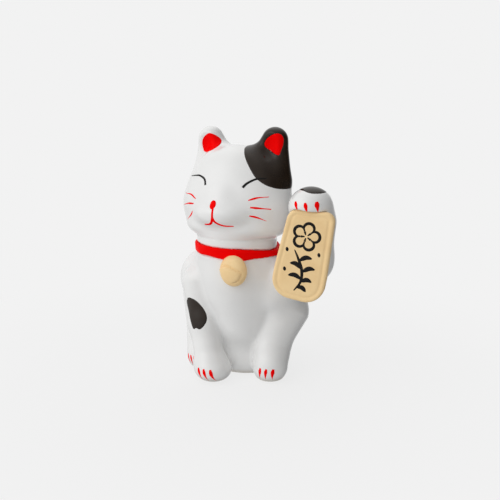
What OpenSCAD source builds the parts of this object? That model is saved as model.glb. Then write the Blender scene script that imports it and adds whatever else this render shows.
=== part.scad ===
// Beckoning cat figurine: a hollow glazed ceramic coin bank that sits up and
// raises one forepaw over a koban (an oval gold coin plaque).
//
// The cat faces -Y, its left side is +X and it sits on the plane z = 0.
// The soft castings are blends of a few lumps. Every lump is given at the
// design height of 130 mm, and figure_h scales them all together.

/* [Figure] */
// Overall height to the ear tips
figure_h = 130; // [110:5:160]
// Wall thickness of the slip-cast shells
wall = 4; // [3:0.5:5]

/* [Coin bank] */
// Length of the coin slot in the back
slot_w = 31; // [24:1:34]
// Height of the coin slot
slot_h = 3.2; // [2.4:0.2:4.4]
// Height of the slot above the table
slot_z = 49; // [44:1:54]
// Diameter of the hole in the base
hole_d = 24; // [20:1:26]
// Width of the step that takes the flange of the stopper
step_w = 2; // [1.5:0.5:3]
// Running clearance all round the stopper
stopper_gap = 0.1; // [0.05:0.05:0.3]

/* [Collar and bell] */
// Radius of the neck under the collar
neck_r = 20.2; // [19:0.2:20.6]
// Height of the collar band
collar_h = 5.4; // [4:0.2:6]
// How far the collar band stands out from the neck
collar_t = 1.4; // [1:0.1:2.2]

/* [Koban] */
// Width of the koban at its widest
koban_w = 25.8; // [20:0.2:28]
// Length of the koban
koban_l = 44.4; // [36:0.2:48]
// Thickness of the koban
koban_t = 4; // [3:0.2:5]
// Width of the raised border
border_w = 1.6; // [1:0.2:2.4]
// Depth of the field inside the border
border_d = 0.5; // [0.2:0.1:1]

/* [Smoothness] */
// Points round each casting
around = 72; // [48:8:80]
// Rows of points up each casting
rows = 34; // [24:2:36]

/* [Hidden] */
$fn = 72;
k = figure_h / 130;
white = "whitesmoke";
red = "red";
gold = "burlywood";

// Levels of the joint between torso and head
collar_z = 65.6;
neck_top = collar_z + collar_h / k;
neck_y = -5.5;
spigot_r = 15;
spigot_h = 3;
spigot_fit = 0.05;

// Lumps: [centre, radii] for an egg, [end, end, radius, radius] for a limb.
// Those of a left and right pair are given for the +X side.
trunk = [[2, 3.4, 38], [22.5, 25, 34]];
seat = [[0, 7, 8], [23, 24, 14]];
chest = [[1, -3.5, 54], [22, 20, 16]];
hip_x = 0;
thigh = [[22.8, 2.8, 34], [20.9, -6.5, 17], 14.1, 9];
foot_x = 2;
instep = [[18.4, -5, 13.5], [20, -10.6, 7.3], 8.6, 9.3];
shoulder = [[22, -4, 48], [12, 12, 14]];
off_shoulder = [[-17, -2, 48.5], [18.6, 15, 17.5]];
upper_leg = [[-17.4, -12.5, 48.5], [-13.6, -17.5, 28], 10.9, 7.9];
lower_leg = [[-13.6, -17.5, 28], [-7.2, -23, 11], 7.9, 7.9];
forefoot = [[-4, -25, 6.2], [9.8, 9.5, 6.8]];
neck = [[0, neck_y, 72], [0, -3.6, 48], neck_r + collar_t / k, 20.3];

cheeks = [[-0.4, -4, 89.5], [30.4, 21.8, 19]];
cranium = [[-0.8, -3.4, 102], [25, 17, 19]];
jaw = [[0, -6, 79.8], [25.2, 20.6, 7.8]];
muzzle = [[-0.3, -18.6, 86.6], [13.4, 12, 9]];
ear_in = [[18.2, 0.8, 123.4], [11, 0.8, 110], 5.8, 8];
ear_out = [[19, 0.8, 123.4], [20.5, 0, 104], 6, 7];
ear_hollow = [[18.5, -9.5, 121], [6, 6, 10]];
head_mid = [0, -3, 94];

forearm = [[46.4, -12, 88], [43.2, -10, 66], 10.5, 10.5];
elbow = [[43.2, -10, 66], [29.5, -3.5, 52.5], 10.5, 10.5];
paw = [[45.9, -17, 93.6], [10.5, 11.5, 9.6]];
arm_mid = [42.5, -11, 74];

tail_lump = [[-3, 28, 11], [3.5, 31.5, 18], 6.5, 5.5];
tail_mid = [0.3, 32.8, 14];

bell_lump = [[9.1, -26.6, 59.9], [7.3, 4.8, 7.8]];
bell_mid = [9.1, -28.2, 59.6];

koban_at = [45.9, -24.4, 71.3];
koban_turn = 10;
koban_lean = 10.5;
koban_taper = 1.2;
koban_top_r = 5;
koban_foot_r = 9.5;
koban_rise = 1.2;

// Thickness of slip between a casting and what it is stuck to, slack all
// round the collar and behind the koban, and the room that the paw leaves
// over the top edge of the koban
seam_gap = 0.4;
collar_gap = 0.1;
koban_gap = 0.1;
paw_room = 0.6;

// Foot ring, base hole and stopper
hole_at = [0, 7];
foot_ring_w = 4.5;
floor_gap = 0.4;
base_t = 5;
step_h = 1.8;
plug_h = 9;
ring_r = hole_d / 2 + step_w + foot_ring_w;
grip_d = 8;
grip_h = 1;

// ---- distances to lumps, in design millimetres ----

function smooth_min(a, b, w) =
    let (h = max(0, min(1, 0.5 + 0.5 * (b - a) / w)))
    b + (a - b) * h - w * h * (1 - h);

function egg(p, lump) =
    let (q = p - lump[0], r = lump[1])
    let (u = norm([q.x / r.x, q.y / r.y, q.z / r.z]))
    let (v = norm([q.x / r.x^2, q.y / r.y^2, q.z / r.z^2]))
    u * (u - 1) / max(v, 0.0001);

function limb(p, lump) =
    let (ab = lump[1] - lump[0], q = p - lump[0])
    let (t = max(0, min(1, (q * ab) / (ab * ab))))
    norm(q - t * ab) - lump[2] - (lump[3] - lump[2]) * t;

// Upright round post on the axis of the neck
function post(p, r, z0, z1) = max(norm([p.x, p.y - neck_y]) - r, p.z - z1, z0 - p.z);

// A lump of the +X side also stands for its mirror image in the plane at x
function fold(p, x = 0) = [abs(p.x - x), p.y, p.z];

function hind_leg(p) = smooth_min(limb(fold(p, hip_x), thigh), limb(fold(p, foot_x), instep), 6);

function foreleg(p) =
    let (leg = smooth_min(limb(p, upper_leg), limb(p, lower_leg), 5))
    smooth_min(leg, egg(p, forefoot), 5);

torso_field = function(p)
    let (a = smooth_min(egg(p, trunk), egg(p, seat), 6))
    let (b = smooth_min(a, egg(p, chest), 10))
    let (c = smooth_min(b, hind_leg(p), 2))
    let (d = smooth_min(c, smooth_min(egg(p, shoulder), egg(p, off_shoulder), 8), 5))
    let (e = smooth_min(d, limb(p, neck), 6))
    smooth_min(e, foreleg(p), 2.2);

function ear(p) =
    let (solid = smooth_min(limb(p, ear_in), limb(p, ear_out), 3))
    -smooth_min(-solid, egg(p, ear_hollow), 1.5);

head_field = function(p)
    let (a = smooth_min(egg(p, cheeks), egg(p, cranium), 10))
    let (b = smooth_min(a, egg(p, jaw), 5))
    let (c = smooth_min(b, egg(p, muzzle), 4))
    let (d = smooth_min(c, post(p, neck_r + 0.8, 60, 78), 1.5))
    smooth_min(d, ear(fold(p)), 5);

arm_field = function(p)
    let (a = smooth_min(limb(p, forearm), limb(p, elbow), 6))
    let (b = smooth_min(a, egg(p, paw), 4))
    max(b, seam_gap - torso_field(p));

tail_field = function(p) max(limb(p, tail_lump), seam_gap - torso_field(p));

bell_field = function(p)
    let (band = post(p, neck_r + collar_t / k, collar_z, neck_top))
    max(egg(p, bell_lump), seam_gap - min(torso_field(p), band));

// ---- skins ----

// Walks in along a ray from far outside until the distance is used up
function reach(field, from, way, r, steps) =
    steps == 0 ? r : reach(field, from, way, r - field(from + r * way), steps - 1);

// A closed skin over rings of points, with a tip beyond each end ring
module skin(rings, first_tip, last_tip) {
    n = len(rings);
    m = len(rings[0]);
    points = [first_tip, for (ring = rings) each ring, last_tip];
    at = function(i, j) 1 + i * m + j % m;
    faces = [
        for (j = [0:m - 1]) [0, at(0, j), at(0, j + 1)],
        for (i = [0:n - 2], j = [0:m - 1])
            each [
                [at(i, j), at(i + 1, j + 1), at(i, j + 1)],
                [at(i, j), at(i + 1, j), at(i + 1, j + 1)]
            ],
        for (j = [0:m - 1]) [n * m + 1, at(n - 1, j + 1), at(n - 1, j)]
    ];
    scale(k) polyhedron(points, faces, convexity = 8);
}

// Skin in level slices round an upright axis at y
module sliced(field, y, z0, z1, n, m, ease = 1) {
    rings = [
        for (i = [0:n])
            let (z = z0 + (z1 - z0) * pow(i / n, ease))
            [
                for (j = [0:m - 1])
                    let (a = 360 * j / m, way = [cos(a), sin(a), 0])
                    [0, y, z] + way * reach(field, [0, y, z], way, 60, 18)
            ]
    ];
    skin(rings, [0, y, z0], [0, y, z1]);
}

// Skin round a middle point, from straight up to down_to(angle) degrees from up
module rounded(field, mid, n, m, down_to, steps = 18) {
    rings = [
        for (i = [n:-1:1]) [
            for (j = [0:m - 1])
                let (a = 360 * j / m, b = down_to(a) * i / n)
                let (way = [cos(a) * sin(b), sin(a) * sin(b), cos(b)])
                mid + way * reach(field, mid, way, 60, steps)
        ]
    ];
    low = rings[0];
    foot = [mid.x, mid.y, min([for (p = low) p.z])];
    top = mid + [0, 0, reach(field, mid, [0, 0, 1], 60, 18)];
    skin(rings, foot, top);
}

// Angle from straight up at which the skin of a field round mid meets level z
function level_angle(field, mid, z, a) =
    let (way = [cos(a), sin(a), 0])
    let (r = reach(field, [mid.x, mid.y, z], way, 60, 18))
    90 + atan((mid.z - z) / r);

// ---- castings ----

module torso() {
    color(white) difference() {
        union() {
            sliced(torso_field, 2, floor_gap, collar_z, rows, around + 16, 1.25);
            translate([hole_at.x, hole_at.y * k, 0]) cylinder(h = base_t, r = ring_r);
            translate([0, neck_y * k, (collar_z - 4) * k]) cylinder(h = 4 * k + collar_h, r = neck_r * k);
            translate([0, neck_y * k, neck_top * k - 1]) cylinder(h = spigot_h + 1, r = spigot_r * k);
        }
        torso_cavity();
        translate([0, neck_y * k, (collar_z - 10) * k]) cylinder(h = 30, r = spigot_r * k - 2.5);
        translate([hole_at.x, hole_at.y * k, -1]) cylinder(h = base_t + 10, r = hole_d / 2);
        translate([hole_at.x, hole_at.y * k, -1]) cylinder(h = step_h + 1, r = hole_d / 2 + step_w);
        translate([-slot_w / 2, 8, slot_z * k]) cube([slot_w, 40, slot_h]);
    }
}

module torso_cavity() {
    inside = function(p) min(egg(p, trunk), egg(p, seat), egg(p, chest)) + wall / k;
    sliced(inside, 2, base_t / k, collar_z - wall / k, 12, 36);
}

module head() {
    down = function(a) level_angle(head_field, head_mid, neck_top, a);
    color(white) difference() {
        rounded(head_field, head_mid, rows, around, down);
        head_cavity();
        translate([0, neck_y * k, neck_top * k - 1])
            cylinder(h = 12, r = spigot_r * k + spigot_fit);
    }
}

module head_cavity() {
    inside = function(p) min(egg(p, cheeks), egg(p, cranium)) + wall / k;
    down = function(a) level_angle(inside, head_mid, neck_top + 5, a);
    rounded(inside, head_mid, 12, 36, down);
}

module raised_arm() {
    color(white) difference() {
        rounded(arm_field, arm_mid, 40, 40, function(a) 179, 60);
        koban_space();
    }
}

// The arm and the paw keep out of the space in front of the koban's back
// and under its sloping top edge
module koban_space() {
    reach_out = 60;
    rise = koban_rise / koban_w * 2 * reach_out;
    top = koban_l / 2 + paw_room;
    koban_frame() translate([0, 0, -koban_t / 2 - koban_gap]) linear_extrude(reach_out)
        polygon([
            [-reach_out, -reach_out], [reach_out, -reach_out],
            [reach_out, top + rise], [-reach_out, top - rise]
        ]);
}

module tail() {
    color(white) rounded(tail_field, tail_mid, 16, 28, function(a) 179, 60);
}

// ---- collar, bell and koban ----

module collar() {
    edge = 0.5;
    bore_r = neck_r * k + collar_gap;
    out = collar_t - collar_gap;
    color(red) translate([0, neck_y * k, neck_top * k - collar_h + collar_gap]) rotate_extrude() {
        translate([bore_r, 0]) square([out - edge, collar_h - 2 * collar_gap]);
        translate([bore_r, edge]) square([out, collar_h - 2 * collar_gap - 2 * edge]);
        for (z = [edge, collar_h - 2 * collar_gap - edge])
            translate([bore_r + out - edge, z]) circle(edge);
    }
}

module bell() {
    color(gold) rounded(bell_field, bell_mid, 18, 32, function(a) 178);
}

// Points of an arc, from angle a to angle b
function arc(centre, r, a, b, n = 8) =
    [for (i = [0:n]) centre + r * [cos(a + (b - a) * i / n), sin(a + (b - a) * i / n)]];

// Rounded outline, narrower at the top, drawn in by inset
function koban_outline(inset) =
    let (w = koban_w / 2 - inset, h = koban_l / 2 - inset)
    let (wt = w - koban_taper, rt = koban_top_r - inset / 2, rf = koban_foot_r - inset / 2)
    [
        each arc([wt - rt, h + koban_rise - rt], rt, 0, 90),
        each arc([rt - wt, h - koban_rise - rt], rt, 90, 180),
        each arc([rf - w, rf - h], rf, 180, 270),
        each arc([w - rf, rf - h], rf, 270, 360)
    ];

// Brings a shape drawn flat to the place of the koban, face outwards
module koban_frame() {
    translate(koban_at * k) rotate([0, 0, koban_turn]) rotate([0, koban_lean, 0]) rotate([90, 0, 0])
        children();
}

module koban() {
    color(gold) koban_frame() difference() {
        translate([0, 0, -koban_t / 2]) linear_extrude(koban_t) polygon(koban_outline(0));
        translate([0, 0, koban_t / 2 - border_d]) linear_extrude(1) polygon(koban_outline(border_w));
    }
}

// ---- stopper ----

module base_stopper() {
    r = hole_d / 2 - stopper_gap;
    flange_r = hole_d / 2 + step_w - stopper_gap;
    color("dimgray") translate([hole_at.x, hole_at.y * k, 0.3]) difference() {
        union() {
            cylinder(h = step_h - 0.3 - stopper_gap, r = flange_r);
            cylinder(h = plug_h, r = r);
        }
        translate([0, 0, 2.5]) cylinder(h = plug_h, r = r - 2.2);
        difference() {
            translate([0, 0, -1]) cylinder(h = 1 + grip_h, r = r - 2);
            translate([-r, -grip_d / 4, -1]) cube([2 * r, grip_d / 2, 3]);
        }
    }
}

torso();
head();
raised_arm();
tail();
collar();
bell();
koban();
base_stopper();
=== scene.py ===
import math

import bpy
import numpy as np
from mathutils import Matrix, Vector


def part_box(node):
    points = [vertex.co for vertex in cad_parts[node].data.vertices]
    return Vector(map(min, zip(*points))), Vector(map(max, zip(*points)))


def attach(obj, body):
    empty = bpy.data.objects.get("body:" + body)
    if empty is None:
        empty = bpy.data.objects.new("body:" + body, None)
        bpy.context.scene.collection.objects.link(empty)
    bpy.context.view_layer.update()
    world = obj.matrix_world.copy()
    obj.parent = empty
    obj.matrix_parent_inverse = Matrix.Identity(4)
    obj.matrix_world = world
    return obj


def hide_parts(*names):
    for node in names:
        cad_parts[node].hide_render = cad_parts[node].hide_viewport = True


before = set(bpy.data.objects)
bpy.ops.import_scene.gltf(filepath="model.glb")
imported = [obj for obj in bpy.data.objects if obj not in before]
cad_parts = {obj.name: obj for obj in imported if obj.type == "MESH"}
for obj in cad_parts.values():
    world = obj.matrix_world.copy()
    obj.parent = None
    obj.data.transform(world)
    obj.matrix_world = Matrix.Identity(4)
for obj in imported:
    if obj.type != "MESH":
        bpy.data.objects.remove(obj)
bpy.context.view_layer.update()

# ---------------------------------------------------------------- sizes
# The cat faces -Y, its left side is +X and it sits on z = 0. Shapes are
# drawn in millimetres at a design height of 130 mm, and K brings them to
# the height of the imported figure.
DESIGN_H = 130.0
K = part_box("head")[1].z * 1000.0 / DESIGN_H
MM = 0.001 * K
BODY = "figurine"

COLLAR_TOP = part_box("collar")[1].z / MM
COLLAR_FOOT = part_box("collar")[0].z / MM
COLLAR_R = (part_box("collar")[1].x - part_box("collar")[0].x) / 2 / MM
NECK_Y = (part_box("collar")[1].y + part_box("collar")[0].y) / 2 / MM
COLLAR_T = 1.4
NECK_R = COLLAR_R - COLLAR_T
HOLE_Y = (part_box("base_stopper")[1].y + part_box("base_stopper")[0].y) / 2 / MM
FLANGE_R = (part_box("base_stopper")[1].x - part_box("base_stopper")[0].x) / 2 / MM
FLANGE_T = 1.8
HOLE_R = FLANGE_R - 1.9
HOLE_TOP = 14.0
FOOT_RING_R, FOOT_RING_TOP = FLANGE_R + 4.6, 5.0
FLOOR_GAP = 0.4
WALL = 4.0
CAVITY_FLOOR = 5.0
SLOT_W, SLOT_H, SLOT_Z = 31.0, 3.2, 50.6
SLOT_BOTTOM_Y = 8.0     # the slot is cut from the back to this depth
SPIGOT_R, SPIGOT_H = 15.0, 3.0
NECK_FOOT = 60.0        # the posts inside the neck start here
THROAT_OUT, THROAT_TOP = 0.8, 78.0
SEAM_LAP = 0.8          # the luted joins run under one another, so the glaze hides them
TOUCH = 0.05            # glaze between pieces that touch

# ---------------------------------------------------------------- lumps
# An egg is (centre, radii). A limb is (end, end, radius, radius).
# Lumps of a left and right pair are given for the +X side.
TRUNK = (2, 3.4, 38), (22.5, 25, 34)
SEAT = (0, 7, 8), (23, 24, 14)
CHEST = (1, -3.5, 54), (22, 20, 16)
HIP_X, FOOT_X = 0.0, 2.0     # the middles of the hips and of the hind feet
THIGH = (22.8, 2.8, 34), (20.9, -6.5, 17), 14.1, 9
INSTEP = (18.4, -5, 13.5), (20, -10.6, 7.3), 8.6, 9.3
SHOULDER = (22, -4, 48), (12, 12, 14)
OFF_SHOULDER = (-17, -2, 48.5), (18.6, 15, 17.5)
UPPER_LEG = (-17.4, -12.5, 48.5), (-13.6, -17.5, 28), 10.9, 7.9
LOWER_LEG = (-13.6, -17.5, 28), (-7.2, -23, 11), 7.9, 7.9
FOREFOOT = (-4, -25, 6.2), (9.8, 9.5, 6.8)
NECK = (0, -5.5, 72), (0, -3.6, 48), COLLAR_R, 20.3

CHEEKS = (-0.4, -4, 89.5), (30.4, 21.8, 19)
CRANIUM = (-0.8, -3.4, 102), (25, 17, 19)
JAW = (0.3, -6, 80), (26.9, 20.8, 8.4)
MUZZLE = (-0.1, -18.6, 87.6), (15.6, 12.8, 8.2)
BRIDGE = (-0.4, -14.8, 93.5), (10.5, 11.5, 11)
EAR_IN = (18.2, 0.8, 123.4), (9.8, 0.8, 108.6), 5.8, 9.4
EAR_OUT = (19, 0.8, 123.4), (20.5, 0, 104), 6, 7
EAR_HOLLOW = (18.5, -9.5, 121), (6, 6, 10)

FOREARM = (46.1, -12, 85.5), (43.2, -10, 66), 10.5, 10.5
ELBOW = (43.2, -10, 66), (29.5, -3.5, 52.5), 10.5, 10.5
PAW = (45.9, -17, 93.6), (10.5, 11.5, 9.6)
TAIL = (-3, 28, 11), (3.5, 31.5, 18), 6.5, 5.5
BELL = (9.1, -26.6, 60.2), (7.4, 4.8, 8.0)

KOBAN_AT = np.array((45.9, -24.4, 71.3))
KOBAN_TURN, KOBAN_LEAN = math.radians(10), math.radians(10.5)
KOBAN_W, KOBAN_L, KOBAN_T = 12.9, 22.2, 2.0      # half sizes
KOBAN_TAPER = 0.062
KOBAN_SLOPE, KOBAN_DIP = 0.1, 0.5
KOBAN_EDGE = 1.2                                 # radius of its rounded rim


# ---------------------------------------------------------------- fields
# A field gives the distance in millimetres from points to a surface,
# below zero inside it.
def smin(a, b, k):
    """Union of two fields, blended over a width k."""
    h = np.clip(0.5 + 0.5 * (b - a) / k, 0.0, 1.0)
    return b + (a - b) * h - k * h * (1.0 - h)


def smax(a, b, k):
    """Common part of two fields, blended over a width k."""
    return -smin(-a, -b, k)


def egg(p, lump):
    q = p - np.array(lump[0], float)
    r = np.array(lump[1], float)
    u = np.sqrt((q * q / (r * r)).sum(-1))
    v = np.sqrt((q * q / r ** 4).sum(-1))
    return u * (u - 1.0) / np.maximum(v, 1e-6)


def limb(p, lump):
    a, b = np.array(lump[0], float), np.array(lump[1], float)
    ab = b - a
    t = np.clip(((p - a) @ ab) / (ab @ ab), 0.0, 1.0)
    return np.linalg.norm(p - a - t[:, None] * ab, axis=1) - lump[2] - (lump[3] - lump[2]) * t


def post(p, x, y, r, z0, z1):
    """Upright round post."""
    out = np.hypot(p[:, 0] - x, p[:, 1] - y) - r
    return np.maximum(out, np.maximum(p[:, 2] - z1, z0 - p[:, 2]))


def fold(p, x=0.0):
    """Brings both sides of x to +X, so that one lump makes a pair."""
    q = p.copy()
    q[:, 0] = np.abs(q[:, 0] - x)
    return q


def foreleg(p):
    leg = smin(limb(p, UPPER_LEG), limb(p, LOWER_LEG), 5)
    return smin(leg, egg(p, FOREFOOT), 5)


def body_skin(p):
    d = smin(egg(p, TRUNK), egg(p, SEAT), 6)
    d = smin(d, egg(p, CHEST), 10)
    hind_leg = smin(limb(fold(p, HIP_X), THIGH), limb(fold(p, FOOT_X), INSTEP), 6)
    d = smin(d, hind_leg, 2)
    d = smin(d, smin(egg(p, SHOULDER), egg(p, OFF_SHOULDER), 8), 5)
    d = smin(d, limb(p, NECK), 6)
    return smin(d, foreleg(p), 2.2)


def arm_skin(p):
    d = smin(limb(p, FOREARM), limb(p, ELBOW), 6)
    return smin(d, egg(p, PAW), 4)


def tail_skin(p):
    return limb(p, TAIL)


def torso_cavity(p):
    d = np.minimum(egg(p, TRUNK), egg(p, CHEST)) + WALL
    d = smax(d, CAVITY_FLOOR - p[:, 2], 2)
    return smin(d, post(p, 0, NECK_Y, SPIGOT_R - 2.5, 50, 90), 2)


def koban_axes():
    """Directions across, up and out of the koban's face."""
    ct, st = math.cos(KOBAN_TURN), math.sin(KOBAN_TURN)
    cl, sl = math.cos(KOBAN_LEAN), math.sin(KOBAN_LEAN)
    across, along = np.array((ct * cl, st * cl, -sl)), np.array((ct * sl, st * sl, cl))
    return across, along, np.array((st, -ct, 0.0))


def koban_frame(p):
    """Coordinates of points along those directions."""
    return [(p - KOBAN_AT) @ axis for axis in koban_axes()]


def koban_outline(x, y):
    """Distance in the plane to the koban's outline. It is narrower at the top,
    where the paw presses it down."""
    w = KOBAN_W - KOBAN_TAPER * np.maximum(y + 8.0, 0.0)
    r = np.where(y > 0, 5.0, 9.5)
    top = (KOBAN_SLOPE * x - KOBAN_DIP * np.exp(-(x / 6) ** 2)) * (y > 0)
    dx, dy = np.abs(x) - (w - r), np.abs(y) - (KOBAN_L + top - r)
    corner = np.hypot(np.maximum(dx, 0), np.maximum(dy, 0))
    return corner + np.minimum(np.maximum(dx, dy), 0.0) - r


def koban_skin(p):
    x, y, z = koban_frame(p)
    flat = koban_outline(x, y)
    a, b = flat + KOBAN_EDGE, np.abs(z) - KOBAN_T + KOBAN_EDGE
    slab = np.hypot(np.maximum(a, 0), np.maximum(b, 0)) + np.minimum(np.maximum(a, b), 0) - KOBAN_EDGE
    groove = 0.32 * np.exp(-((flat + 2.5) / 0.6) ** 2) * (z > 0)
    return slab + groove


def figure_skin(p):
    """Torso, arm and tail as one smooth surface."""
    d = smin(body_skin(p), arm_skin(p), 4)
    return smin(d, tail_skin(p), 3)


def neck_angle(p):
    return np.arctan2(p[:, 1] - NECK_Y, p[:, 0])


def swelling(angle, middle, narrow):
    """1 at one place round the neck, fading away on both sides of it."""
    return np.exp(narrow * (np.cos(angle - middle) - 1.0))


def collar_dip(p):
    """How far the top edge of the collar runs down on the left of the cat."""
    a = neck_angle(p)
    return 2.6 * swelling(a, 0.15, 3.0) - 0.5 * swelling(a, -2.6, 4.0)


def torso(p):
    body = body_skin(p)
    d = np.maximum(figure_skin(p), np.maximum(body - arm_skin(p), body - tail_skin(p)) - SEAM_LAP)
    d = smax(d, FLOOR_GAP - p[:, 2], 1.0)
    d = np.maximum(d, p[:, 2] - COLLAR_FOOT)
    ledge = COLLAR_TOP - TOUCH - np.maximum(collar_dip(p), 0)
    d = np.minimum(d, post(p, 0, NECK_Y, NECK_R - 0.1, NECK_FOOT, ledge))
    d = np.minimum(d, post(p, 0, NECK_Y, SPIGOT_R - 0.1, NECK_FOOT, COLLAR_TOP + SPIGOT_H))
    d = np.minimum(d, post(p, 0, HOLE_Y, FOOT_RING_R, 0.0, FOOT_RING_TOP))
    d = smax(d, -torso_cavity(p), 0.6)
    d = smax(d, -post(p, 0, HOLE_Y, HOLE_R, -5, HOLE_TOP), 0.5)
    d = smax(d, -post(p, 0, HOLE_Y, FLANGE_R + 0.1, -5, FLANGE_T), 0.4)
    slot = np.maximum(np.abs(p[:, 0]) - SLOT_W / 2, np.abs(p[:, 2] - SLOT_Z) - SLOT_H / 2)
    slot = np.maximum(slot, SLOT_BOTTOM_Y - p[:, 1])
    return smax(d, -slot, 0.8)


def raised_arm(p):
    arm, body = arm_skin(p), body_skin(p)
    d = np.maximum(figure_skin(p), arm - body - SEAM_LAP)
    d = np.maximum(d, -torso_cavity(p))
    x, y, z = koban_frame(p)
    before = np.maximum(koban_outline(x, y), -KOBAN_T - z)
    return smax(d, TOUCH - before, 0.5)


def tail(p):
    return np.maximum(figure_skin(p), tail_skin(p) - body_skin(p) - SEAM_LAP)


def ear(p):
    solid = smin(limb(p, EAR_IN), limb(p, EAR_OUT), 3)
    return smax(solid, -egg(p, EAR_HOLLOW), 1.5)


def throat(p):
    """Shallow folds under the chin, on the front half of the neck."""
    front = np.clip((-p[:, 1] - 2) / 8, 0.0, 1.0)
    z = p[:, 2] - COLLAR_TOP
    return front * (0.5 * np.exp(-((z - 4.0) / 0.6) ** 2) + 0.2 * np.exp(-((z - 2.5) / 0.45) ** 2))


def head_skin(p):
    d = smin(egg(p, CHEEKS), egg(p, CRANIUM), 10)
    d = smin(d, egg(p, JAW), 5)
    d = smin(d, smin(egg(p, MUZZLE), egg(p, BRIDGE), 4), 3)
    d = smin(d, post(p, 0, NECK_Y, NECK_R + THROAT_OUT, NECK_FOOT, THROAT_TOP), 1.5) + throat(p)
    return smin(d, ear(fold(p)), 5)


def head_cavity(p):
    d = np.minimum(egg(p, CHEEKS), egg(p, CRANIUM)) + WALL
    d = np.maximum(d, COLLAR_TOP + 5.0 - p[:, 2])
    return smin(d, post(p, 0, NECK_Y, SPIGOT_R, NECK_FOOT, 84), 2)


def head(p):
    d = np.maximum(head_skin(p), COLLAR_TOP + 0.02 - collar_dip(p) - p[:, 2])
    return smax(d, -head_cavity(p), 0.4)


# ---------------------------------------------------------------- meshing
def corner_steps():
    return [(i, j, k) for i in (0, 1) for j in (0, 1) for k in (0, 1)]


def sample(field, low, shape, step, coarse=4):
    """Field values on a grid, worked out finely only near the surface."""
    blocks = (np.array(shape) - 1) // coarse
    nodes = [low[i] + np.arange(blocks[i] + 1) * step * coarse for i in range(3)]
    rough = field(np.stack(np.meshgrid(*nodes, indexing="ij"), -1).reshape(-1, 3))
    rough = rough.reshape(blocks + 1)
    near = np.abs(rough) < step * coarse * 2.2
    touched = np.zeros(blocks, bool)
    for i, j, k in corner_steps():
        touched |= near[i:i + blocks[0], j:j + blocks[1], k:k + blocks[2]]
    for axis in range(3):
        touched = touched.repeat(coarse, axis)
        rough = rough.repeat(coarse, axis)
    grid = rough[:shape[0], :shape[1], :shape[2]].copy()
    wanted = np.zeros(shape, bool)
    n = np.array(shape) - 1
    for i, j, k in corner_steps():
        wanted[i:i + n[0], j:j + n[1], k:k + n[2]] |= touched
    where = np.argwhere(wanted)
    values = [field(low + chunk * step) for chunk in np.array_split(where, 1 + len(where) // 200000)]
    grid[wanted] = np.concatenate(values)
    return grid


def surface_nets(field, low, high, step, coarse=4):
    """Quads over the zero surface of a field: one point in each cell it crosses."""
    low = np.array(low, float)
    blocks = np.ceil((np.array(high) - low) / (step * coarse)).astype(int)
    shape = tuple(blocks * coarse + 1)
    grid = sample(field, low, shape, step, coarse)
    inside = grid < 0
    n = np.array(shape) - 1
    count = sum(inside[i:i + n[0], j:j + n[1], k:k + n[2]].astype(np.int8)
                for i, j, k in corner_steps())
    crossed = (count > 0) & (count < 8)
    number = np.full(crossed.shape, -1)
    cells = np.argwhere(crossed)
    number[crossed] = np.arange(len(cells))
    total, hits = np.zeros((len(cells), 3)), np.zeros(len(cells))
    for axis in range(3):
        others = [i for i in range(3) if i != axis]
        for i, j in ((0, 0), (0, 1), (1, 0), (1, 1)):
            a = cells.copy()
            a[:, others[0]] += i
            a[:, others[1]] += j
            b = a.copy()
            b[:, axis] += 1
            va, vb = grid[tuple(a.T)], grid[tuple(b.T)]
            cut = (va < 0) != (vb < 0)
            point = a[cut].astype(float)
            point[:, axis] += va[cut] / (va[cut] - vb[cut])
            total[cut] += point
            hits[cut] += 1
    points = low + total / hits[:, None] * step
    quads = []
    for axis in range(3):
        u, v = (axis + 1) % 3, (axis + 2) % 3
        first = inside.take(range(shape[axis] - 1), axis)
        second = inside.take(range(1, shape[axis]), axis)
        edge = np.argwhere(first != second)
        edge = edge[(edge[:, u] > 0) & (edge[:, u] < n[u]) & (edge[:, v] > 0) & (edge[:, v] < n[v])]
        starts_in = first[tuple(edge.T)]
        ring = []
        for i, j in ((1, 1), (0, 1), (0, 0), (1, 0)):
            cell = edge.copy()
            cell[:, u] -= i
            cell[:, v] -= j
            ring.append(number[tuple(cell.T)])
        quad = np.stack(ring, -1)
        quad[~starts_in] = quad[~starts_in][:, ::-1]
        quads.append(quad)
    return points, np.concatenate(quads)


def slope(field, p, step=0.02):
    g = np.empty_like(p)
    for i in range(3):
        d = np.zeros(3)
        d[i] = step
        g[:, i] = (field(p + d) - field(p - d)) / (2 * step)
    return g


def settle(field, p, rounds=1):
    """Moves points onto the surface of the field."""
    for _ in range(rounds):
        g = slope(field, p)
        p = p - g * (field(p) / np.maximum((g * g).sum(1), 0.05))[:, None]
    return p


def relax(field, points, quads, rounds=2):
    """Evens out the quads while the points stay on the surface."""
    edges = np.concatenate([quads[:, [i, (i + 1) % 4]] for i in range(4)])
    ends = np.concatenate([edges[:, 0], edges[:, 1]])
    others = np.concatenate([edges[:, 1], edges[:, 0]])
    degree = np.bincount(ends, minlength=len(points))[:, None]
    for _ in range(rounds):
        mean = np.stack([np.bincount(ends, points[others, i], len(points)) for i in range(3)], -1)
        points = settle(field, mean / degree)
    return points


def outward(field, p):
    g = slope(field, p)
    return g / np.maximum(np.linalg.norm(g, axis=1), 1e-9)[:, None]


def drop(field, start, way, steps=40):
    """Moves points along a direction until they meet the surface."""
    p = np.array(start, float)
    way = np.array(way, float) / np.linalg.norm(way)
    for _ in range(steps):
        p = p + way * field(p)[:, None] * 0.9
    return p


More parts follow.
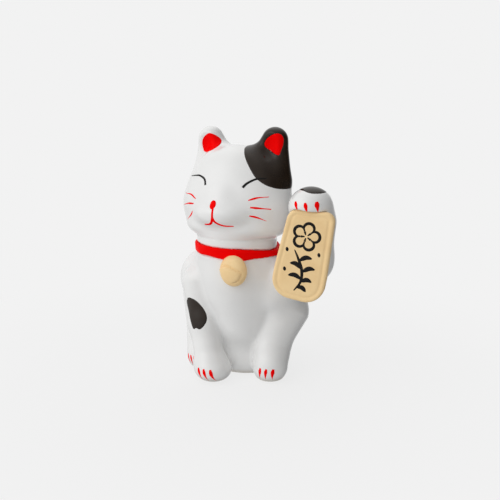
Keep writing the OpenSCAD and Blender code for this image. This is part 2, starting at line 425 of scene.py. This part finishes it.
# ---------------------------------------------------------------- pieces
def make_object(name, points, faces, material, slot):
    """A Blender object from points in millimetres, riding on the figurine."""
    mesh = bpy.data.meshes.new(name)
    mesh.from_pydata((np.asarray(points) * MM).tolist(), [], [list(f) for f in faces])
    mesh.validate()
    mesh.shade_smooth()
    piece = bpy.data.objects.new(name, mesh)
    bpy.context.scene.collection.objects.link(piece)
    mesh.materials.append(material)
    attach(piece, BODY)
    return piece


def cast(name, field, low, high, cell, material, slot, node, rounds=2):
    """A piece meshed from its field, standing for a CAD node."""
    points, quads = surface_nets(field, low, high, cell)
    points = relax(field, points, quads, rounds)
    piece = make_object(name, points, quads, material, slot)
    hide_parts(node)
    return points, quads


def node_box(node, margin=1.5):
    """Box round a CAD node in design millimetres."""
    low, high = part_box(node)
    return np.array(low) / MM - margin, np.array(high) / MM + margin


# ---------------------------------------------------------------- paint
PAINT = 0.09      # height of enamel above the glaze
SUNK = 0.06       # how far its underside is let into the glaze


def resample(path, count):
    """Evenly spaced points on a smooth curve through given points."""
    path = np.array(path, float)
    if len(path) > 2:
        ends = np.vstack([2 * path[0] - path[1], path, 2 * path[-1] - path[-2]])
        fine = []
        for a, b, c, d in zip(ends, ends[1:], ends[2:], ends[3:]):
            for t in np.linspace(0, 1, 12, endpoint=False):
                fine.append(0.5 * (2 * b + (c - a) * t + (2 * a - 5 * b + 4 * c - d) * t * t
                                   + (3 * b - a - 3 * c + d) * t ** 3))
        path = np.array(fine + [path[-1]])
    run = np.r_[0, np.cumsum(np.linalg.norm(np.diff(path, axis=0), axis=1))]
    at = np.linspace(0, run[-1], count)
    return np.stack([np.interp(at, run, path[:, i]) for i in range(path.shape[1])], -1)


def closed_film(field, lattice, heights):
    """Points and faces of a thin closed film over a lattice of surface points."""
    rows, cols = lattice.shape[:2]
    flat = lattice.reshape(-1, 3)
    normal = outward(field, flat)
    top = flat + normal * heights.reshape(-1, 1)
    base = flat - normal * SUNK
    points = np.vstack([top, base])
    under = rows * cols

    def at(i, j):
        return i * cols + j

    faces = []
    for i in range(rows - 1):
        for j in range(cols - 1):
            a, b, c, d = at(i, j), at(i + 1, j), at(i + 1, j + 1), at(i, j + 1)
            faces += [(a, b, c, d), (under + d, under + c, under + b, under + a)]
    rim = [at(i, 0) for i in range(rows)] + [at(rows - 1, j) for j in range(1, cols)]
    rim += [at(i, cols - 1) for i in range(rows - 2, -1, -1)] + [at(0, j) for j in range(cols - 2, 0, -1)]
    for a, b in zip(rim, rim[1:] + rim[:1]):
        faces.append((a, under + a, under + b, b))
    return points, faces


def stroke(field, path, width, place, across=7, spacing=0.35, height=PAINT):
    """Brush stroke: path in the drawing plane, laid on the surface by place()."""
    length = np.linalg.norm(np.diff(np.array(path, float), axis=0), axis=1).sum()
    count = max(8, int(length / spacing))
    mid = resample(path, count)
    ahead = np.gradient(mid, axis=0)
    ahead /= np.linalg.norm(ahead, axis=1)[:, None]
    side = np.stack([-ahead[:, 1], ahead[:, 0]], -1)
    t = np.linspace(0, 1, count)
    half = np.array([width(x) for x in t]) / 2
    s = np.linspace(-1, 1, across)
    plan = mid[:, None] + side[:, None] * (half[:, None] * s)[..., None]
    lattice = place(plan.reshape(-1, 2)).reshape(count, across, 3)
    dome = np.sqrt(np.maximum(1 - s ** 2, 0.0))
    ends = np.minimum(1, np.minimum(t, 1 - t) * count / 3)
    heights = height * dome[None] * ends[:, None]
    return closed_film(field, lattice, heights)


def join_films(films):
    points, faces, start = [], [], 0
    for p, f in films:
        points.append(p)
        faces += [tuple(i + start for i in face) for face in f]
        start += len(p)
    return np.vstack(points), faces


def patch(field, points, quads, region, edge=0.5, height=PAINT):
    """Film of enamel over the part of a mesh where region() is below zero."""
    tris = np.vstack([quads[:, [0, 1, 2]], quads[:, [0, 2, 3]]])
    value = region(points)
    value = np.where(np.abs(value) < 1e-5, 1e-5, value)
    inside = value < 0
    tris = tris[inside[tris].any(1)]
    surface, use, cuts = [], {}, {}

    def keep(i):
        if i not in use:
            use[i] = len(surface)
            surface.append((points[i], value[i]))
        return use[i]

    def cut(i, j):
        key = (i, j) if i < j else (j, i)
        if key not in cuts:
            t = value[i] / (value[i] - value[j])
            cuts[key] = len(surface)
            surface.append((points[i] + (points[j] - points[i]) * t, 0.0))
        return cuts[key]

    faces = []
    for tri in tris.tolist():
        loop = []
        for i, j in zip(tri, tri[1:] + tri[:1]):
            if inside[i]:
                loop.append(keep(i))
            if inside[i] != inside[j]:
                loop.append(cut(i, j))
        faces.append(tuple(loop))
    skin = settle(field, np.array([s[0] for s in surface]))
    depth = np.array([-s[1] for s in surface])
    normal = outward(field, skin)
    rise = 0.015 + (height - 0.015) * np.sqrt(np.clip(depth / edge, 0, 1))
    top, base = skin + normal * rise[:, None], skin - normal * SUNK
    n = len(skin)
    seen = {(a, b) for f in faces for a, b in zip(f, f[1:] + f[:1])}
    walls = [(b, a, n + a, n + b) for a, b in seen if (b, a) not in seen]
    under = [tuple(n + i for i in reversed(f)) for f in faces]
    return np.vstack([top, base]), faces + under + walls


# ---------------------------------------------------------------- materials
ENAMEL_WAVE, GLAZE_WAVE, RUBBER_GRAIN = 0.00002, 0.00005, 0.00003     # metres
CLAY_TOP, GLAZE_FOOT = 0.0007, 0.0011     # heights in metres between which the glaze ends


def new_material(name):
    material = bpy.data.materials.new(name)
    material.use_nodes = True
    tree = material.node_tree
    return material, tree, tree.nodes["Principled BSDF"]


def link(tree, a, b):
    tree.links.new(a, b)


def noise(tree, where, scale, detail=4.0, rough=0.5):
    node = tree.nodes.new("ShaderNodeTexNoise")
    node.inputs["Scale"].default_value = scale
    node.inputs["Detail"].default_value = detail
    node.inputs["Roughness"].default_value = rough
    link(tree, where, node.inputs["Vector"])
    return node.outputs["Fac"]


def ramp(tree, value, stops):
    """Colours or greys along a value: stops are (place, linear RGB)."""
    node = tree.nodes.new("ShaderNodeValToRGB")
    link(tree, value, node.inputs["Fac"])
    bar = node.color_ramp.elements
    while len(bar) < len(stops):
        bar.new(0.5)
    for element, (place, colour) in zip(bar, stops):
        element.position = place
        element.color = (*colour, 1.0)
    return node.outputs["Color"]


def srgb(r, g, b):
    """Linear colour from 0-255 screen values."""
    def one(v):
        v /= 255.0
        return v / 12.92 if v <= 0.04045 else ((v + 0.055) / 1.055) ** 2.4
    return one(r), one(g), one(b)


def grey(v):
    return v, v, v


def bump(tree, shader, height, distance):
    node = tree.nodes.new("ShaderNodeBump")
    node.inputs["Distance"].default_value = distance
    link(tree, height, node.inputs["Height"])
    link(tree, node.outputs["Normal"], shader.inputs["Normal"])


def object_place(tree):
    return tree.nodes.new("ShaderNodeTexCoord").outputs["Object"]


def enamel(name, dark, light, rough, shine):
    """Fired-on colour: it pools a little, and its surface is not quite flat."""
    material, tree, shader = new_material(name)
    where = object_place(tree)
    colour = ramp(tree, noise(tree, where, 140.0, 6.0, 0.6), [(0.32, dark), (0.68, light)])
    link(tree, colour, shader.inputs["Base Color"])
    dull = ramp(tree, noise(tree, where, 420.0, 3.0), [(0.3, grey(rough * 0.75)), (0.7, grey(rough * 1.35))])
    link(tree, dull, shader.inputs["Roughness"])
    shader.inputs["Specular IOR Level"].default_value = shine
    bump(tree, shader, noise(tree, where, 260.0, 2.0), ENAMEL_WAVE)
    return material


def glaze_material():
    """White glazed earthenware, with the bare clay of the foot under it."""
    material, tree, shader = new_material("white_glaze")
    where = object_place(tree)
    cloud = ramp(tree, noise(tree, where, 55.0, 5.0),
                 [(0.3, srgb(236, 236, 235)), (0.7, srgb(242, 242, 241))])
    speck = tree.nodes.new("ShaderNodeTexVoronoi")
    speck.inputs["Scale"].default_value = 240.0
    link(tree, where, speck.inputs["Vector"])
    spot = ramp(tree, speck.outputs["Distance"], [(0.03, grey(0.72)), (0.075, grey(1.0))])
    mixed = tree.nodes.new("ShaderNodeMix")
    mixed.data_type = "RGBA"
    mixed.blend_type = "MULTIPLY"
    mixed.inputs[0].default_value = 0.35
    link(tree, cloud, mixed.inputs[6])
    link(tree, spot, mixed.inputs[7])
    clay = ramp(tree, noise(tree, where, 900.0, 6.0),
                [(0.3, srgb(206, 196, 180)), (0.7, srgb(226, 217, 203))])
    split = tree.nodes.new("ShaderNodeSeparateXYZ")
    link(tree, where, split.inputs[0])
    low = ramp(tree, split.outputs["Z"], [(CLAY_TOP, grey(1.0)), (GLAZE_FOOT, grey(0.0))])
    both = tree.nodes.new("ShaderNodeMix")
    both.data_type = "RGBA"
    link(tree, low, both.inputs[0])
    link(tree, mixed.outputs[2], both.inputs[6])
    link(tree, clay, both.inputs[7])
    link(tree, both.outputs[2], shader.inputs["Base Color"])
    dull = tree.nodes.new("ShaderNodeMix")
    link(tree, low, dull.inputs[0])
    gloss = ramp(tree, noise(tree, where, 300.0, 3.0), [(0.3, grey(0.16)), (0.7, grey(0.26))])
    link(tree, gloss, dull.inputs[2])
    dull.inputs[3].default_value = 0.9
    link(tree, dull.outputs[0], shader.inputs["Roughness"])
    shader.inputs["Coat Weight"].default_value = 0.6
    shader.inputs["Coat Roughness"].default_value = 0.06
    bump(tree, shader, noise(tree, where, 110.0, 3.0), GLAZE_WAVE)
    return material


def rubber_material():
    material, tree, shader = new_material("stopper_rubber")
    where = object_place(tree)
    link(tree, ramp(tree, noise(tree, where, 500.0, 5.0), [(0.3, srgb(58, 57, 56)), (0.7, srgb(74, 73, 71))]),
         shader.inputs["Base Color"])
    link(tree, ramp(tree, noise(tree, where, 900.0, 4.0), [(0.3, grey(0.55)), (0.7, grey(0.75))]),
         shader.inputs["Roughness"])
    bump(tree, shader, noise(tree, where, 1800.0, 3.0), RUBBER_GRAIN)
    return material


glaze = glaze_material()
red = enamel("red_enamel", (1.0, 0.0, 0.0), (1.0, 0.002, 0.002), 0.4, 0.02)
black = enamel("black_enamel", srgb(32, 22, 13), srgb(42, 31, 21), 0.07, 0.36)
ink = enamel("brush_black", srgb(10, 9, 8), srgb(17, 15, 14), 0.4, 0.2)
gold = enamel("gold_enamel", srgb(246, 211, 156), srgb(253, 221, 167), 0.42, 0.2)
rubber = rubber_material()

# ---------------------------------------------------------------- castings
# Sizes of the mesher's cells in millimetres, on the figure and on its small parts.
CELL = 0.85
FINE = 0.5


def white_cast(name, field, node, margin, cell=CELL):
    """Points and quads of a glazed casting, made within a margin of its CAD box."""
    low, high = node_box(node, margin)
    return cast(name, field, low, high, cell, glaze, "white_glaze", node)


torso_points, torso_quads = white_cast("torso_cast", torso, "torso", 2.5)
head_points, head_quads = white_cast("head_cast", head, "head", 4.0)
arm_points, arm_quads = white_cast("raised_arm_cast", raised_arm, "raised_arm", 4.0)
white_cast("tail_cast", tail, "tail", 3.0, FINE * 1.2)


# ---------------------------------------------------------------- collar, bell and koban
def collar_wave(p):
    """How far the hand-painted lower edge of the collar dips, round the neck."""
    a = neck_angle(p)
    front = np.exp(-((a + 1.15) / 0.42) ** 2)
    side = swelling(a, 0.0, 3.0) - 0.5 * swelling(a, -2.6, 4.0)
    return 1.15 * front + side + 0.16 * np.sin(5 * a + 0.6) + 0.1 * np.sin(11 * a) - 0.35


def collar(p):
    r = np.hypot(p[:, 0], p[:, 1] - NECK_Y)
    face = smin(r - COLLAR_R, body_skin(p) - 0.5, 1)
    rise = p[:, 2] - COLLAR_TOP + collar_dip(p) - 0.12 * np.sin(3 * np.arctan2(p[:, 1], p[:, 0]))
    fall = COLLAR_FOOT - collar_wave(p) - p[:, 2]
    d = smax(smax(face, rise, 1.0), fall, 1.0)
    d = np.maximum(d, NECK_R - 0.05 - r)
    return np.maximum(d, np.where(p[:, 2] < COLLAR_FOOT, 0.03 - body_skin(p), -9.0))


def inside_of(loop):
    """Signed distance in a plane to a smooth closed outline through some points."""
    loop = list(loop)
    path = resample(loop[-1:] + loop + loop[:2], 160)
    run = np.linalg.norm(path - np.array(loop[0], float), axis=1)
    first = int(np.argmin(run[:80]))
    last = 80 + int(np.argmin(run[80:]))
    path = path[first:last]
    ends = np.roll(path, -1, axis=0)

    def distance(q):
        d = np.full(len(q), 1e9)
        odd = np.zeros(len(q), bool)
        for a, b in zip(path, ends):
            ab = b - a
            t = np.clip((q - a) @ ab / max(ab @ ab, 1e-9), 0, 1)
            d = np.minimum(d, np.linalg.norm(q - a - t[:, None] * ab, axis=1))
            if a[1] != b[1]:
                x = a[0] + (q[:, 1] - a[1]) * ab[0] / ab[1]
                odd ^= ((a[1] > q[:, 1]) != (b[1] > q[:, 1])) & (q[:, 0] < x)
        return np.where(odd, -d, d)
    return distance


BELL_SHIELD = ((-0.82, 0.16), (-0.5, 0.32), (-0.14, 0.36), (0.3, 0.22), (0.74, -0.04), (0.62, -0.38),
               (0.34, -0.6), (0.02, -0.68), (-0.36, -0.52), (-0.66, -0.2))
bell_shield = inside_of([(x * BELL[1][0], z * BELL[1][2]) for x, z in BELL_SHIELD])


def bell_relief(p):
    """Raised shield on the front of the bell, rounded at its edge."""
    d = bell_shield(p[:, [0, 2]] - np.array((BELL[0][0], BELL[0][2])))
    front = np.clip((BELL[0][1] - p[:, 1]) / 2.5, 0.0, 1.0)
    step = 0.9 / (1.0 + np.exp(np.clip(d / 0.15, -30, 30)))
    return front * (step - 0.4 * np.exp(-((d - 0.3) / 0.35) ** 2))


def bell_cast(p):
    d = egg(p, BELL) - bell_relief(p) + 0.15
    return np.maximum(d, TOUCH - body_skin(p))


cast("collar_band", collar, *node_box("collar", 3.0), FINE * 1.1, red, "red_enamel", "collar")
cast("bell_cast", bell_cast, *node_box("bell", 2.0), FINE * 0.55, gold, "gold_enamel", "bell", 1)
cast("koban_cast", koban_skin, *node_box("koban", 1.5), FINE, gold, "gold_enamel", "koban", 1)


# ---------------------------------------------------------------- painted marks
def from_front(field):
    """Lays points (x, z) on a surface along +Y."""
    def place(plan):
        start = np.stack([plan[:, 0], np.full(len(plan), -48.0), plan[:, 1]], -1)
        return drop(field, start, (0, 1, 0))
    return place


def taper(thick, blunt=0.55, thin=0.12):
    """Width along a claw or whisker: blunt at its root, pointed at its end."""
    def width(t):
        root = blunt + (1 - blunt) * min(1.0, t / 0.25)
        tip = max(thin, 1 - max(0.0, t - 0.35) / 0.65)
        return thick * root * tip
    return width


def swell(thick, ends=0.45):
    """Width along a brush stroke that is widest in its middle."""
    return lambda t: thick * (ends + (1 - ends) * math.sin(math.pi * t) ** 0.7)


def marks(name, field, strokes, material, slot, height=PAINT):
    """One piece of several strokes, each (path, width function)."""
    films = [stroke(field, path, width, from_front(field), height=height) for path, width in strokes]
    return make_object(name, *join_films(films), material, slot)


# Each mark is (path in x and z, width along it), as seen from the front.
EYES = (
    ([(-8.8, 101.6), (-10.2, 104.4), (-14, 105.8), (-17.6, 105.6), (-22.0, 104.9)], lambda t: 1.3 - 0.95 * t),
    ([(11.7, 101.3), (12.7, 102.7), (14.3, 104), (17.3, 105.4), (21.4, 105.4)], lambda t: 1.35 - 0.6 * t),
)
NOSE = (
    ([(-1.7, 95.0), (-1.3, 93.6), (-0.9, 92.2), (-0.6, 90.9)],
     lambda t: 3.4 * math.sqrt(max(0.02, 1 - (2 * t - 1) ** 2))),
    ([(-0.4, 92), (-0.1, 89.5), (0, 86.0)], lambda t: 1.05 + 0.2 * t),
    ([(0.1, 87.0), (-0.9, 84.6), (-2.8, 83.2), (-6.4, 82.7)], lambda t: 1.5 - 0.9 * t),
    ([(-0.1, 87.0), (1.3, 84.6), (4.7, 82.9), (9.4, 82.7)], lambda t: 1.5 - 1.0 * t),
)
WHISKERS = (
    ([(15.1, 95.3), (19, 96.5), (23.4, 96.8)], taper(0.96, 0.5, 0.35)),
    ([(16.2, 91.9), (20.7, 91.4), (24.8, 90.8)], taper(1.00, 0.7, 0.5)),
    ([(16.0, 87.8), (19.4, 86.8), (22.9, 85)], taper(0.96, 0.6, 0.3)),
    ([(-14.2, 94.4), (-18.4, 96.2), (-24.3, 96.1)], taper(0.89, 0.6, 0.3)),
    ([(-15.6, 91.9), (-20.4, 91.4), (-25, 90.1)], taper(0.89, 0.7, 0.4)),
    ([(-16.4, 88.0), (-18.4, 85.6), (-22, 82.8)], taper(0.89, 0.6, 0.3)),
)
FORE_CLAWS = tuple(
    ([(x, 8.6), (x + 1.0, 5.6), (x + 2.2, 2.4)], taper(1.75)) for x in (-8.0, -4.6, -1.0))
HIND_CLAWS = tuple(
    ([(x, 8.6), (x - 0.5, 5.5), (x - 0.9, 2.6)], taper(1.7)) for x in (20.8, 24.1, 27.4)) + tuple(
    ([(x, 8.5), (x + 0.5, 5.5), (x + 1.2, 2.8)], taper(1.4)) for x in (-23.8, -21.4, -18.9))
PAW_CLAWS = (
    ([(42.2, 97.2), (43.0, 95), (43.9, 92.6)], taper(1.7)),
    ([(47.3, 96.9), (48.0, 94.6), (48.8, 92.0)], taper(1.8)),
    ([(52.0, 97.4), (52.6, 95), (53.0, 92.3)], taper(1.8)),
)

marks("eyes", head, EYES, ink, "black_enamel", 0.2)
marks("nose_and_mouth", head, NOSE, red, "red_enamel")
marks("whiskers", head, WHISKERS, red, "red_enamel")
marks("forefoot_claws", torso, FORE_CLAWS, red, "red_enamel")
marks("hind_claws", torso, HIND_CLAWS, red, "red_enamel")
marks("raised_paw_claws", raised_arm, PAW_CLAWS, red, "red_enamel")


def outline_xz(loop, behind=None):
    """Region of space inside an outline seen from the front, in front of a depth."""
    distance = inside_of(loop)

    def region(p):
        d = distance(p[:, [0, 2]])
        return d if behind is None else np.maximum(d, p[:, 1] - behind)
    return region


RIGHT_EAR = ((-17, 126.5), (-13.7, 125.5), (-10.9, 123), (-9.9, 120.6), (-12.4, 118.2), (-16.8, 116.9),
             (-20.0, 117.2), (-21.3, 121), (-20.3, 124.3))
LEFT_EAR = ((22.3, 127), (24.3, 125.4), (24.7, 122.2), (24.0, 118.4), (23.2, 116.4), (19.3, 117.9),
            (15.4, 120.7), (16.1, 123.9), (19.3, 126.2))
HEAD_PATCH = ((7.6, 126), (5.4, 121), (7.1, 118), (8.9, 115.4), (12.7, 110.5), (16, 106.4), (19, 103.8),
              (23, 101.4), (28, 99.7), (36, 99), (38, 116), (32, 136), (16, 138))
LEG_PATCH = ((-19.6, 42), (-21.2, 38.6), (-18.6, 33.4), (-15.8, 28.1), (-14.4, 26.4), (-13, 27.3),
             (-10.5, 26.9), (-8.3, 30), (-8.5, 33.7), (-11.1, 38), (-15, 41.4))

right_ear_region = outline_xz(RIGHT_EAR, 0.5)
left_ear_region = outline_xz(LEFT_EAR, 0.5)
patch_region = outline_xz(HEAD_PATCH)


def dark_side(p):
    """The black side of the head, leaving the inside of its ear."""
    return np.maximum(patch_region(p), -left_ear_region(p))


outer = head_skin(head_points) > -0.6     # leaves out the walls of the cavity
head_faces = head_quads[outer[head_quads].all(1)]
make_object("right_ear_pink", *patch(head, head_points, head_faces, right_ear_region), red, "red_enamel")
make_object("left_ear_pink", *patch(head, head_points, head_faces, left_ear_region), red, "red_enamel")
make_object("head_patch", *patch(head, head_points, head_faces, dark_side), black, "black_enamel")

leg_region = outline_xz(LEG_PATCH, -8.0)
make_object("foreleg_patch", *patch(torso, torso_points, torso_quads, leg_region), black, "black_enamel")

PAW_PATCH = ((42.4, -21.4), (44.6, -23), (47.4, -24), (50, -23.2), (52.2, -20.6), (52.9, -16.5), (51.8, -12),
             (48, -9.5), (44, -10), (40.8, -13.5), (40.4, -18))
paw_outline = inside_of(PAW_PATCH)


def paw_region(p):
    return np.maximum(paw_outline(p[:, :2]), PAW[0][2] + 3.0 - p[:, 2])


make_object("raised_paw_patch", *patch(raised_arm, arm_points, arm_quads, paw_region), black, "black_enamel")


def on_koban(plan):
    """Lays points (across, up) on the face of the koban."""
    across, along, out = koban_axes()
    start = KOBAN_AT + plan[:, :1] * across + plan[:, 1:] * along + out * 8.0
    return drop(koban_skin, start, -out)


def petal(middle, reach, turn, size):
    """Outline of one petal of a blossom, as an open brush loop."""
    way = np.array((math.sin(turn), math.cos(turn)))
    side = np.array((way[1], -way[0]))
    centre = np.array(middle) + way * reach
    steps = np.linspace(-2.5, 2.5, 9)
    return [tuple(centre + way * size * math.cos(t) * 0.95 + side * size * math.sin(t)) for t in steps]


def sprig():
    """Blossom over a curved, leafy stem: a generic brush motif."""
    strokes = []
    middle = (-0.4, 9.6)
    for i in range(5):
        turn = math.radians(72 * i + 8)
        strokes.append((petal(middle, 4.1, turn, 2.5), swell(1.5, 0.35)))
        way = np.array((math.sin(turn + 0.63), math.cos(turn + 0.63)))
        strokes.append(([tuple(np.array(middle) + way * 0.7), tuple(np.array(middle) + way * 2.6)],
                        lambda t: 0.5 + 0.7 * t))
    strokes.append(([(-4.6, 2.2), (-2.2, -1.4), (0.6, -6.6), (1.2, -12.4), (-1.2, -17.4)], swell(1.5, 0.3)))
    leaves = ((-1.6, -2.6, 4.4, -0.2), (0.4, -6.2, -5.6, -4.6), (0.9, -7.6, 6.8, -5.0),
              (1.2, -11.2, -5.4, -10.6), (1.2, -12.4, 6.4, -11.4), (0, -15.6, 4.6, -16.6))
    for x0, y0, x1, y1 in leaves:
        bend = (x0 + x1) / 2, (y0 + y1) / 2 + 1.1
        strokes.append(([(x0, y0), bend, (x1, y1)], swell(2.3, 0.12)))
    for x, y in ((-8.2, 1.6), (7.2, 2.4), (-7.6, -8.0)):
        strokes.append(([(x - 0.3, y + 1.0), (x + 0.3, y - 1.0)], swell(1.5, 0.3)))
    return strokes


films = [stroke(koban_skin, path, width, on_koban) for path, width in sprig()]
make_object("koban_motif", *join_films(films), ink, "black_enamel")

# ---------------------------------------------------------------- stopper
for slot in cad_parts["base_stopper"].material_slots:
    slot.link = "OBJECT"
    slot.material = rubber

# ---------------------------------------------------------------- studio
CAMERA_AZIMUTH, CAMERA_ELEVATION = math.radians(27), math.radians(12)
CAMERA_DISTANCE = 369.0                   # from the point it aims at, in design millimetres
AIM = Vector((4.8, 0, 65.4))
FLOOR_SIZE = 6.0                          # metres, as the next two are
LIT_RADIUS, PALE_RADIUS = 0.04, 0.22      # the floor fades to plain pale between these
PALE_SHARE = 0.86                         # how pale it already is beside the object
PALE = srgb(242, 242, 242)[0]


def pale_glow(tree):
    node = tree.nodes.new("ShaderNodeEmission")
    node.inputs["Color"].default_value = (PALE, PALE, PALE, 1.0)
    return node.outputs[0]


def floor_material():
    """White sweep: partly lit round the object, evenly pale further out."""
    material, tree, shader = new_material("studio_floor")
    where = object_place(tree)
    shader.inputs["Base Color"].default_value = (0.86, 0.86, 0.86, 1.0)
    shader.inputs["Roughness"].default_value = 0.55
    shader.inputs["Specular IOR Level"].default_value = 0.25
    far = tree.nodes.new("ShaderNodeVectorMath")
    far.operation = "LENGTH"
    link(tree, where, far.inputs[0])
    edge = tree.nodes.new("ShaderNodeMapRange")
    edge.interpolation_type = "SMOOTHSTEP"
    edge.inputs["From Min"].default_value = LIT_RADIUS
    edge.inputs["From Max"].default_value = PALE_RADIUS
    edge.inputs["To Min"].default_value = PALE_SHARE
    link(tree, far.outputs["Value"], edge.inputs["Value"])
    mixed = tree.nodes.new("ShaderNodeMixShader")
    link(tree, edge.outputs[0], mixed.inputs[0])
    link(tree, shader.outputs[0], mixed.inputs[1])
    link(tree, pale_glow(tree), mixed.inputs[2])
    link(tree, mixed.outputs[0], tree.nodes["Material Output"].inputs["Surface"])
    return material


def direction(around, up):
    """Unit vector to the viewer at an azimuth and elevation in radians."""
    return Vector((math.sin(around) * math.cos(up), -math.cos(around) * math.cos(up), math.sin(up)))


def unlit(thing):
    """Seen by the camera, but neither lights nor shades the object."""
    thing.visible_diffuse = False
    thing.visible_glossy = False
    thing.visible_shadow = False


def make_floor():
    half = FLOOR_SIZE / 2
    corners = [(-half, -half, 0), (half, -half, 0), (half, half, 0), (-half, half, 0)]
    mesh = bpy.data.meshes.new("studio_floor")
    mesh.from_pydata(corners, [], [(0, 1, 2, 3)])
    floor = bpy.data.objects.new("studio_floor", mesh)
    floor.location.z = -0.0001
    unlit(floor)
    bpy.context.scene.collection.objects.link(floor)
    mesh.materials.append(floor_material())


def make_backdrop():
    """Plain pale dome round the set, seen by the camera only."""
    radius, rings, around = FLOOR_SIZE / 2, 24, 64
    points, faces = [], []
    for i in range(rings + 1):
        up = math.pi / 2 * i / rings
        for j in range(around):
            turn = 2 * math.pi * j / around
            points.append((radius * math.cos(up) * math.cos(turn), radius * math.cos(up) * math.sin(turn),
                           radius * math.sin(up)))
    for i in range(rings):
        for j in range(around):
            a, b = i * around + j, i * around + (j + 1) % around
            faces.append((a, a + around, b + around, b))
    mesh = bpy.data.meshes.new("studio_backdrop")
    mesh.from_pydata(points, [], faces)
    material, tree, _ = new_material("studio_backdrop")
    link(tree, pale_glow(tree), tree.nodes["Material Output"].inputs["Surface"])
    mesh.materials.append(material)
    dome = bpy.data.objects.new("studio_backdrop", mesh)
    unlit(dome)
    bpy.context.scene.collection.objects.link(dome)


# Soft lobes of light in the room: azimuth from the camera (left is
# negative) and elevation in degrees, sharpness, strength.
LOBES = (
    (-110, 5, 4, 0.72),
    (-35, 10, 4, 0.2),
    (-5, 22, 4, 0.58),
    (35, 38, 5, 0.16),
    (-75, 35, 10, 0.92),
    (-50, 35, 10, 0.9),
    (180, 50, 4, 1.0),
    (0, 90, 4, 0.62),
    (-60, -35, 4, 0.92),
    (60, -35, 4, 0.66),
    (180, -20, 4, 0.9),
)


def arithmetic(tree, operation, value, *constants):
    """A math node working on a value and one or two constants."""
    node = tree.nodes.new("ShaderNodeMath")
    node.operation = operation
    link(tree, value, node.inputs[0])
    for i, constant in enumerate(constants):
        node.inputs[i + 1].default_value = constant
    return node


def make_world():
    """Pale room: brightest on the left of the camera, high and low, and behind the object."""
    world = bpy.data.worlds.new("studio")
    bpy.context.scene.world = world
    world.use_nodes = True
    tree = world.node_tree
    place = tree.nodes.new("ShaderNodeTexCoord").outputs["Generated"]
    total = None
    for azimuth, elevation, sharpness, strength in LOBES:
        dot = tree.nodes.new("ShaderNodeVectorMath")
        dot.operation = "DOT_PRODUCT"
        link(tree, place, dot.inputs[0])
        around, up = CAMERA_AZIMUTH + math.radians(azimuth), math.radians(elevation)
        dot.inputs[1].default_value = direction(around, up)
        facing = arithmetic(tree, "MAXIMUM", dot.outputs["Value"], 0.0)
        sharp = arithmetic(tree, "POWER", facing.outputs[0], sharpness)
        lobe = arithmetic(tree, "MULTIPLY_ADD", sharp.outputs[0], strength, 0.0)
        if total is not None:
            link(tree, total, lobe.inputs[2])
        total = lobe.outputs[0]
    link(tree, total, tree.nodes["Background"].inputs["Color"])


make_floor()
make_backdrop()
make_world()

back = direction(CAMERA_AZIMUTH, CAMERA_ELEVATION)
lens = bpy.data.cameras.new("camera")
lens.lens = 50.0
lens.sensor_width = 36.0
lens.clip_start = 0.01
camera = bpy.data.objects.new("camera", lens)
camera.location = (AIM + back * CAMERA_DISTANCE) * MM
camera.rotation_euler = back.to_track_quat("Z", "Y").to_euler()
bpy.context.scene.collection.objects.link(camera)
bpy.context.scene.camera = camera
bpy.context.scene.view_settings.view_transform = "Standard"

bpy.context.view_layer.update()
